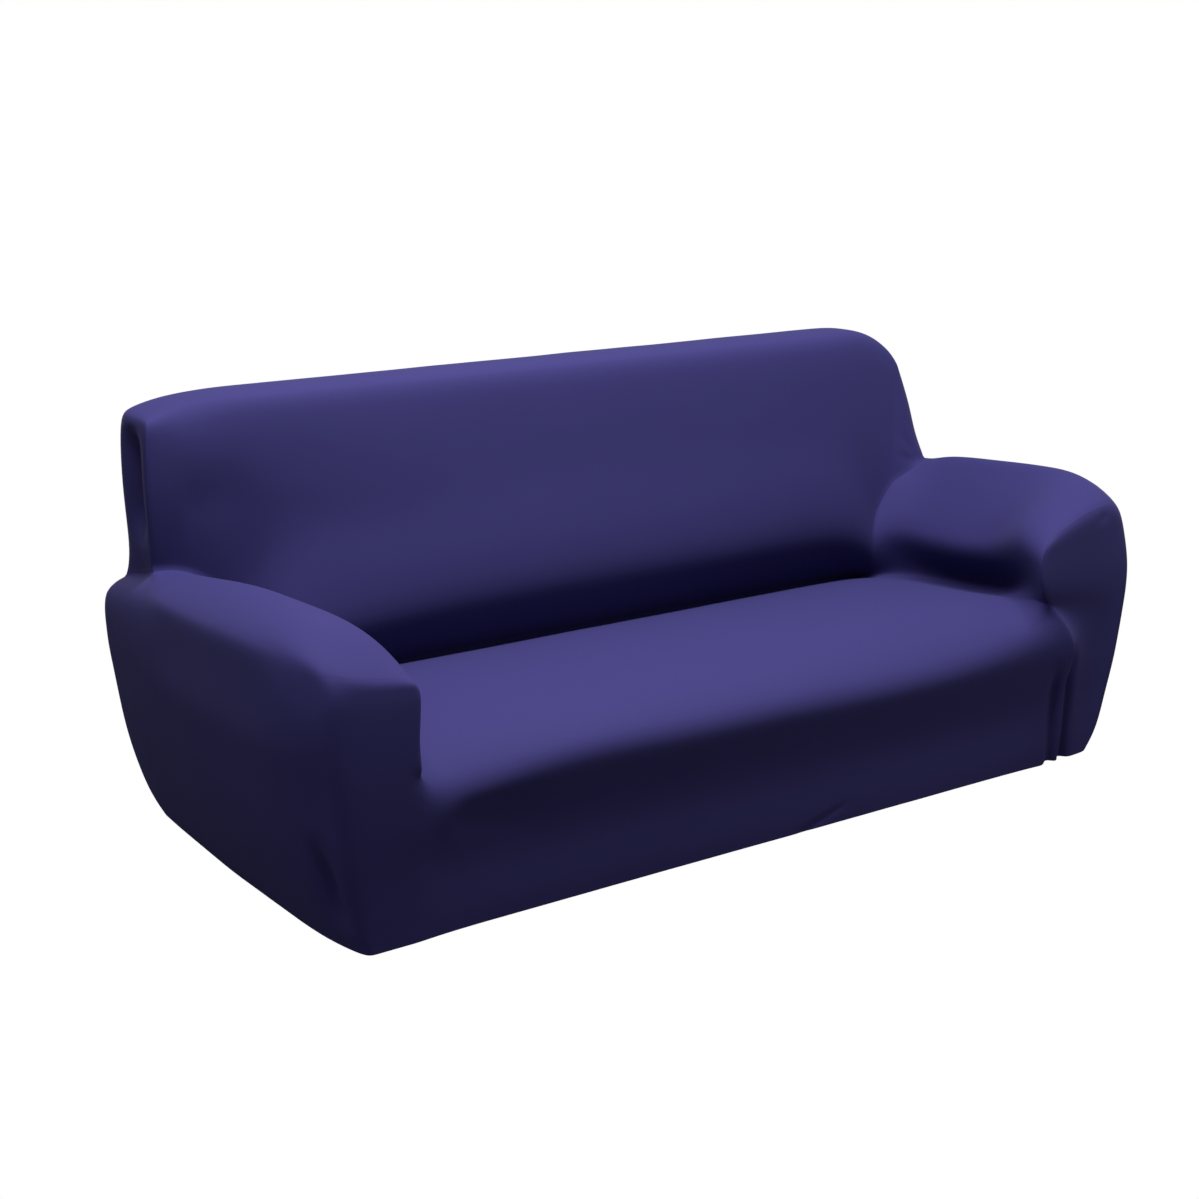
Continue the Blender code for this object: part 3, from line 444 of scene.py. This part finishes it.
# each fold runs through three points (x, depth, height), with its width, its depth in the cloth
# (below zero for a trough) and how it fades at its start and end
folds = (
    # the skirt is drawn into two upright folds below the right corner of the seat
    {"path": ((0.758, -0.02, 0.250), (0.762, -0.02, 0.140), (0.774, -0.02, 0.000)),
     "width": 0.015, "lift": -0.015, "fade": (0.45, 0.0)},
    {"path": ((0.798, -0.02, 0.280), (0.803, -0.02, 0.150), (0.812, -0.02, 0.000)),
     "width": 0.012, "lift": -0.016, "fade": (0.35, 0.0)},
    # a hollow runs down the corner of the left arm to the hem
    {"path": ((-0.985, 0.030, 0.230), (-0.968, 0.020, 0.130), (-0.940, 0.020, 0.010)),
     "width": 0.028, "lift": -0.014, "fade": (0.5, 0.3)},
    {"path": ((-0.985, 0.035, 0.225), (-0.968, 0.025, 0.130), (-0.945, 0.020, 0.040)),
     "width": 0.012, "lift": -0.010, "fade": (0.4, 0.5)},
    # below the front roll of the seat beside the left arm
    {"path": ((-0.740, 0.000, 0.215), (-0.640, 0.000, 0.205), (-0.500, 0.000, 0.190)),
     "width": 0.035, "lift": -0.005, "fade": (0.3, 0.4)},
    # a faint slanting crease near the hem
    {"path": ((0.060, 0.000, -0.005), (0.135, 0.000, 0.018), (0.215, 0.000, 0.042)),
     "width": 0.007, "lift": -0.002, "fade": (0.2, 0.4)},
    # the left of the back swells out and then dips
    {"path": ((-0.920, 0.640, 0.765), (-0.820, 0.630, 0.755), (-0.640, 0.625, 0.730)),
     "width": 0.060, "lift": 0.002, "fade": (0.2, 0.6)},
    {"path": ((-0.900, 0.630, 0.650), (-0.820, 0.625, 0.655), (-0.720, 0.620, 0.660)),
     "width": 0.050, "lift": -0.002, "fade": (0.2, 0.5)},
    # a groove down the left end of the back, behind its front edge
    {"path": ((-0.955, 0.706, 0.810), (-0.955, 0.706, 0.690), (-0.955, 0.710, 0.565)),
     "width": 0.028, "lift": -0.036, "fade": (0.25, 0.35)},
    # puckers where the right arm meets the back
    {"path": ((0.945, 0.615, 0.530), (0.922, 0.612, 0.570), (0.890, 0.615, 0.630)),
     "width": 0.009, "lift": -0.004, "fade": (0.3, 0.6)},
    {"path": ((0.955, 0.618, 0.530), (0.915, 0.610, 0.545), (0.870, 0.605, 0.570)),
     "width": 0.008, "lift": -0.004, "fade": (0.3, 0.6)},
    # the front of the right arm is drawn in under its top edge
    {"path": ((0.905, -0.010, 0.530), (0.885, -0.015, 0.526), (0.850, -0.015, 0.518)),
     "width": 0.012, "lift": -0.002, "fade": (0.4, 0.6)},
)


def alongPath(point, path):
    # nearest distance to a path of straight lengths, and how far along it that is, 0 to 1
    best, share = 1e9, 0.0
    for number, (start, end) in enumerate(zip(path, path[1:])):
        run = end - start
        part = max(0.0, min(1.0, (point - start).dot(run) / run.length_squared))
        away = (point - start - run * part).length
        if away < best:
            best, share = away, (number + part) / (len(path) - 1)
    return best, share


def layOnSkin(path, tree):
    # the path in short steps, each dropped onto the cloth
    pathSteps = coverForm["pathSteps"]
    steps = []
    for start, end in zip(path, path[1:]):
        steps += [start.lerp(end, number / pathSteps) for number in range(pathSteps)]
    return [tree.find_nearest(step)[0] for step in [*steps, path[-1]]]


def smoothStep(low, high, value):
    part = max(0.0, min(1.0, (value - low) / (high - low)))
    return part * part * (3.0 - 2.0 * part)


def pressFolds(skin):
    shift = Vector((0.0, -coverForm["topDepth"], -coverForm["topHeight"]))
    skin.normal_update()
    tree = BVHTree.FromBMesh(skin)
    moves = {}
    for fold in folds:
        path = layOnSkin([Vector(p) + shift for p in fold["path"]], tree)
        reach = coverForm["foldReach"] * fold["width"]
        low = Vector(min(p[i] for p in path) - reach for i in range(3))
        high = Vector(max(p[i] for p in path) + reach for i in range(3))
        for point in skin.verts:
            co = point.co
            if not all(low[i] <= co[i] <= high[i] for i in range(3)):
                continue
            away, share = alongPath(co, path)
            if away > reach:
                continue
            lift = fold["lift"] * math.exp(-(away / fold["width"]) ** 2)
            fadeIn, fadeOut = fold["fade"]
            if fadeIn:
                lift *= smoothStep(0.0, fadeIn, share)
            if fadeOut:
                lift *= smoothStep(0.0, fadeOut, 1.0 - share)
            moves[point] = moves.get(point, 0.0) + lift
    for point, lift in moves.items():
        point.co += point.normal * lift
    # the whole cloth is a little uneven
    broad, fine = coverForm["broadSwells"], coverForm["fineSwells"]
    for point in skin.verts:
        swell = noise.noise(point.co * broad) + 0.5 * noise.noise(point.co * fine)
        point.co += point.normal * swell * coverForm["unevenness"]
    skin.normal_update()


def smoothSkin():
    form = blockForm()
    form.normal_update()
    for face in form.faces:
        face.material_index = panelNames.index(panelOf(face.calc_center_median(), face.normal))
    lengths = cutLengths(form)
    cut = form.loops.layers.uv.new("cut")
    crease = form.edges.layers.float.new("crease_edge")
    for face in form.faces:
        name = panelNames[face.material_index]
        for corner in face.loops:
            across, along = stepOnCut(name, *(round(step) for step in corner.vert.co))
            corner[cut].uv = (lengths[name][0][across], lengths[name][1][along])
    for edge in form.edges:
        kinds = {kindOf(panelNames[face.material_index]) for face in edge.link_faces}
        middle = (edge.verts[0].co + edge.verts[1].co) / 2
        inside = mirroredColumn(middle.x) > 0
        part = "top" if middle.z in (armLevel, topLevel) else "inner" if inside else "outer"
        for firmness in seamFirmness:
            if kinds == firmness["seam"]:
                edge[crease] = firmness[part]
        for line in firmLines:
            if all(isWithin([round(step) for step in end.co], line) for end in edge.verts):
                edge[crease] = line["firm"]
    for point in form.verts:
        point.co = place(*(round(step) for step in point.co))
    mesh = bpy.data.meshes.new("coverForm")
    form.to_mesh(mesh)
    form.free()
    formObject = bpy.data.objects.new("coverForm", mesh)
    bpy.context.scene.collection.objects.link(formObject)
    smoothing = formObject.modifiers.new("Smoothing", "SUBSURF")
    smoothing.levels = smoothing.render_levels = coverForm["smoothing"]
    bpy.context.view_layer.update()
    evaluated = formObject.evaluated_get(bpy.context.evaluated_depsgraph_get())
    smoothed = bpy.data.meshes.new_from_object(evaluated)
    skin = bmesh.new()
    skin.from_mesh(smoothed)
    bpy.data.objects.remove(formObject, do_unlink=True)
    bpy.data.meshes.remove(smoothed)
    return skin


def drawInEdges(panel, seams):
    # the points on the seams go half a seam gap into the panel, along the cloth
    steps = {}
    for edge in seams:
        face = edge.link_faces[0]
        along = (edge.verts[1].co - edge.verts[0].co).normalized()
        inward = face.calc_center_median() - edge.verts[0].co
        inward -= along * inward.dot(along)
        for point in edge.verts:
            steps.setdefault(point, []).append(inward.normalized())
    for point, directions in steps.items():
        total = sum(directions, Vector())
        reach = max(total.normalized().dot(directions[0]), coverForm["cornerLimit"])
        point.co += total.normalized() * (coverForm["seamGap"] / 2 / reach)


def cutPanel(skin, number):
    name = panelNames[number]
    panel = skin.copy()
    innerStep = panel.verts.layers.float_vector.new("innerStep")
    for point in panel.verts:
        thickness = coverForm["cloth"] * min(point.calc_shell_factor(), coverForm["thickestCorner"])
        point[innerStep] = -point.normal * thickness
    seamNumbers = {
        edge.index for edge in panel.edges
        if len({face.material_index == number for face in edge.link_faces}) == 2
    }
    others = [face for face in panel.faces if face.material_index != number]
    seams = [edge for edge in panel.edges if edge.index in seamNumbers]
    bmesh.ops.delete(panel, geom=others, context="FACES")
    drawInEdges(panel, [edge for edge in seams if edge.is_valid])
    layer = bmesh.ops.extrude_face_region(panel, geom=panel.faces[:], use_keep_orig=True)["geom"]
    for item in layer:
        if isinstance(item, bmesh.types.BMVert):
            item.co += item[innerStep]
    bmesh.ops.recalc_face_normals(panel, faces=panel.faces)
    for face in panel.faces:
        face.material_index = 0
        face.smooth = True
    mesh = bpy.data.meshes.new(name)
    panel.to_mesh(mesh)
    panel.free()
    for layerName in ("innerStep", "crease_edge"):
        found = mesh.attributes.get(layerName)
        if found is not None:
            mesh.attributes.remove(found)
    mesh.set_sharp_from_angle(angle=coverForm["sharpFrom"])
    piece = bpy.data.objects.new(name, mesh)
    bpy.context.scene.collection.objects.link(piece)
    return piece


knit = {
    "colour": (0.0210, 0.0180, 0.0890),     # navy of the cloth, linear
    "deep": (0.0194, 0.0166, 0.0832),       # the same where the dye took darker
    "roughness": 0.85,
    "specular": 0.15,
    "sheen": 0.02,
    "sheenRoughness": 0.45,
    "sheenTint": (0.62, 0.60, 1.0),
    "wale": 0.0011,                         # width of one column of loops
    "course": 0.0009,                       # height of one row of loops
    "slant": 1.6,                           # how steeply the loops lean within a column
    "ribShare": 0.6,                        # how much the columns show, and then the loops
    "loopShare": 0.2,
    "relief": 0.00012,
    "reliefStrength": 0.35,
    "cloudScale": 5.0,                      # patches of lighter and darker dye
    "cloudDetail": 6.0,
    "cloudRoughness": 0.7,
}


def knitGroup():
    # loops of fine jersey on the cut's own coordinates, with the slight unevenness of a dyed cloth
    group = bpy.data.node_groups.new("fineJersey", "ShaderNodeTree")
    face = group.interface
    for title, kind, start in (
        ("Cut", "NodeSocketVector", None),
        ("Wale", "NodeSocketFloat", knit["wale"]),
        ("Course", "NodeSocketFloat", knit["course"]),
    ):
        socket = face.new_socket(title, in_out="INPUT", socket_type=kind)
        if start is not None:
            socket.default_value = start
    for title in ("Height", "Dye"):
        face.new_socket(title, in_out="OUTPUT", socket_type="NodeSocketFloat")
    nodes, links = group.nodes, group.links
    enter = nodes.new("NodeGroupInput")
    leave = nodes.new("NodeGroupOutput")

    def maths(operation, *inputs):
        node = nodes.new("ShaderNodeMath")
        node.operation = operation
        for socket, value in zip(node.inputs, inputs):
            if isinstance(value, (int, float)):
                socket.default_value = value
            else:
                links.new(value, socket)
        return node.outputs[0]

    split = nodes.new("ShaderNodeSeparateXYZ")
    links.new(enter.outputs["Cut"], split.inputs[0])
    across = maths("DIVIDE", split.outputs["X"], enter.outputs["Wale"])
    along = maths("DIVIDE", split.outputs["Y"], enter.outputs["Course"])
    ribs = maths("ABSOLUTE", maths("SINE", maths("MULTIPLY", across, math.pi)))
    slant = maths("MULTIPLY", maths("PINGPONG", across, 0.5), knit["slant"])
    loops = maths("SINE", maths("MULTIPLY", maths("ADD", along, slant), 2 * math.pi))
    raisedRibs = maths("MULTIPLY", ribs, knit["ribShare"])
    relief = maths("ADD", raisedRibs, maths("MULTIPLY", loops, knit["loopShare"]))
    links.new(relief, leave.inputs["Height"])
    cloud = nodes.new("ShaderNodeTexNoise")
    cloud.inputs["Scale"].default_value = knit["cloudScale"]
    cloud.inputs["Detail"].default_value = knit["cloudDetail"]
    cloud.inputs["Roughness"].default_value = knit["cloudRoughness"]
    links.new(enter.outputs["Cut"], cloud.inputs["Vector"])
    links.new(cloud.outputs[0], leave.inputs["Dye"])
    return group


def knitMaterial(name, group):
    material = bpy.data.materials.new(name)
    material.use_nodes = True
    nodes, links = material.node_tree.nodes, material.node_tree.links
    shader = nodes["Principled BSDF"]
    cut = nodes.new("ShaderNodeUVMap")
    cut.uv_map = "cut"
    jersey = nodes.new("ShaderNodeGroup")
    jersey.node_tree = group
    jersey.inputs["Wale"].default_value = knit["wale"]
    jersey.inputs["Course"].default_value = knit["course"]
    links.new(cut.outputs["UV"], jersey.inputs["Cut"])
    colour = nodes.new("ShaderNodeMix")
    colour.data_type = "RGBA"
    colour.inputs["A"].default_value = (*knit["deep"], 1.0)
    colour.inputs["B"].default_value = (*knit["colour"], 1.0)
    links.new(jersey.outputs["Dye"], colour.inputs["Factor"])
    links.new(colour.outputs["Result"], shader.inputs["Base Color"])
    bump = nodes.new("ShaderNodeBump")
    bump.inputs["Strength"].default_value = knit["reliefStrength"]
    bump.inputs["Distance"].default_value = knit["relief"]
    links.new(jersey.outputs["Height"], bump.inputs["Height"])
    links.new(bump.outputs["Normal"], shader.inputs["Normal"])
    shader.inputs["Roughness"].default_value = knit["roughness"]
    shader.inputs["Specular IOR Level"].default_value = knit["specular"]
    shader.inputs["Sheen Weight"].default_value = knit["sheen"]
    shader.inputs["Sheen Roughness"].default_value = knit["sheenRoughness"]
    shader.inputs["Sheen Tint"].default_value = (*knit["sheenTint"], 1.0)
    return material


studio = {
    "floorLevel": -0.951,      # 0.10 m below the hem
    "floorSize": 60.0,
    "floorSeen": (1.0, 1.0, 1.0),
    "floorLit": (0.07, 0.07, 0.07),   # what the floor throws back up at the cloth
    "fill": 0.38,              # strength of the even light from all round
}

# soft boxes: one overhead, then low ones for the right arm front, the left end, the rear and
# the right end
lamps = (
    {"place": (-0.35, -0.97, 2.95), "aim": (-0.35, -0.97, -1.0), "size": (3.2, 0.8), "power": 322.0},
    {"place": (1.9, -2.0, -0.3), "aim": (0.9, -0.7, -0.5), "size": (0.9, 0.9), "power": 6.0},
    {"place": (-3.4, -0.5, -0.7), "aim": (-1.0, -0.4, -0.7), "size": (2.4, 0.4), "power": 7.0},
    {"place": (0.0, 3.6, -0.3), "aim": (0.0, 0.1, -0.5), "size": (2.4, 0.6), "power": 45.0},
    {"place": (4.2, 0.6, -0.4), "aim": (1.0, -0.2, -0.5), "size": (1.6, 0.6), "power": 16.0},
)

view = {
    "place": (-2.4090, -3.4916, 0.6100),
    "turn": 0.62442,           # to the right of +Y
    "tip": 0.26171,            # below the horizon
    "roll": 0.00318,
    "lens": 61.14,
    "sensor": 36.0,
    "farEnd": 200.0,
}


def buildStudio():
    grid = bmesh.new()
    bmesh.ops.create_grid(grid, x_segments=1, y_segments=1, size=studio["floorSize"] / 2)
    bmesh.ops.translate(grid, vec=(0.0, 0.0, studio["floorLevel"]), verts=grid.verts)
    mesh = bpy.data.meshes.new("studioFloor")
    grid.to_mesh(mesh)
    grid.free()
    floor = bpy.data.objects.new("studioFloor", mesh)
    bpy.context.scene.collection.objects.link(floor)
    material = bpy.data.materials.new("paleFloor")
    material.use_nodes = True
    nodes, links = material.node_tree.nodes, material.node_tree.links
    nodes.remove(nodes["Principled BSDF"])
    out = nodes["Material Output"]
    rays = nodes.new("ShaderNodeLightPath")
    lit = nodes.new("ShaderNodeBsdfDiffuse")
    lit.inputs["Color"].default_value = (*studio["floorLit"], 1.0)
    seen = nodes.new("ShaderNodeEmission")
    seen.inputs["Color"].default_value = (*studio["floorSeen"], 1.0)
    mix = nodes.new("ShaderNodeMixShader")
    links.new(rays.outputs["Is Camera Ray"], mix.inputs["Fac"])
    links.new(lit.outputs[0], mix.inputs[1])
    links.new(seen.outputs[0], mix.inputs[2])
    links.new(mix.outputs[0], out.inputs["Surface"])
    mesh.materials.append(material)

    world = bpy.data.worlds.new("studioLight")
    bpy.context.scene.world = world
    world.use_nodes = True
    nodes, links = world.node_tree.nodes, world.node_tree.links
    back = nodes["Background"]
    rays = nodes.new("ShaderNodeLightPath")
    strength = nodes.new("ShaderNodeMix")
    strength.data_type = "FLOAT"
    strength.inputs["A"].default_value = studio["fill"]
    strength.inputs["B"].default_value = 1.0
    links.new(rays.outputs["Is Camera Ray"], strength.inputs["Factor"])
    links.new(strength.outputs["Result"], back.inputs["Strength"])
    back.inputs["Color"].default_value = (1.0, 1.0, 1.0, 1.0)

    for number, row in enumerate(lamps):
        lamp = bpy.data.lights.new(f"softbox{number}", "AREA")
        lamp.shape = "RECTANGLE"
        lamp.size, lamp.size_y = row["size"]
        lamp.energy = row["power"]
        softbox = bpy.data.objects.new(f"softbox{number}", lamp)
        bpy.context.scene.collection.objects.link(softbox)
        softbox.location = row["place"]
        aim = Vector(row["aim"]) - Vector(row["place"])
        softbox.rotation_euler = aim.to_track_quat("-Z", "Y").to_euler()
        softbox.visible_camera = False
    bpy.context.scene.view_settings.view_transform = "Standard"


def buildCamera():
    data = bpy.data.cameras.new("camera")
    data.sensor_width = view["sensor"]
    data.lens = view["lens"]
    data.clip_end = view["farEnd"]
    camera = bpy.data.objects.new("camera", data)
    bpy.context.scene.collection.objects.link(camera)
    turn, tip, roll = view["turn"], view["tip"], view["roll"]
    ahead = Vector((math.sin(turn) * math.cos(tip), math.cos(turn) * math.cos(tip), -math.sin(tip)))
    right = Vector((math.cos(turn), -math.sin(turn), 0.0))
    up = right.cross(ahead)
    rolledRight = right * math.cos(roll) + up * math.sin(roll)
    rolledUp = up * math.cos(roll) - right * math.sin(roll)
    pose = Matrix((rolledRight, rolledUp, -ahead)).transposed().to_4x4()
    pose.translation = Vector(view["place"])
    camera.matrix_world = pose
    bpy.context.scene.camera = camera


skin = smoothSkin()
pressFolds(skin)
print("cover formed:", len(skin.faces), "faces")

jersey = knitGroup()
for number, name in enumerate(panelNames):
    settings = panels[name]
    piece = cutPanel(skin, number)
    piece.data.materials.append(knitMaterial(name + "Knit", jersey))
    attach(piece, "root")
    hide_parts(settings["node"])
    print("panel cut:", name)
skin.free()

buildStudio()
buildCamera()
print("studio and camera set")
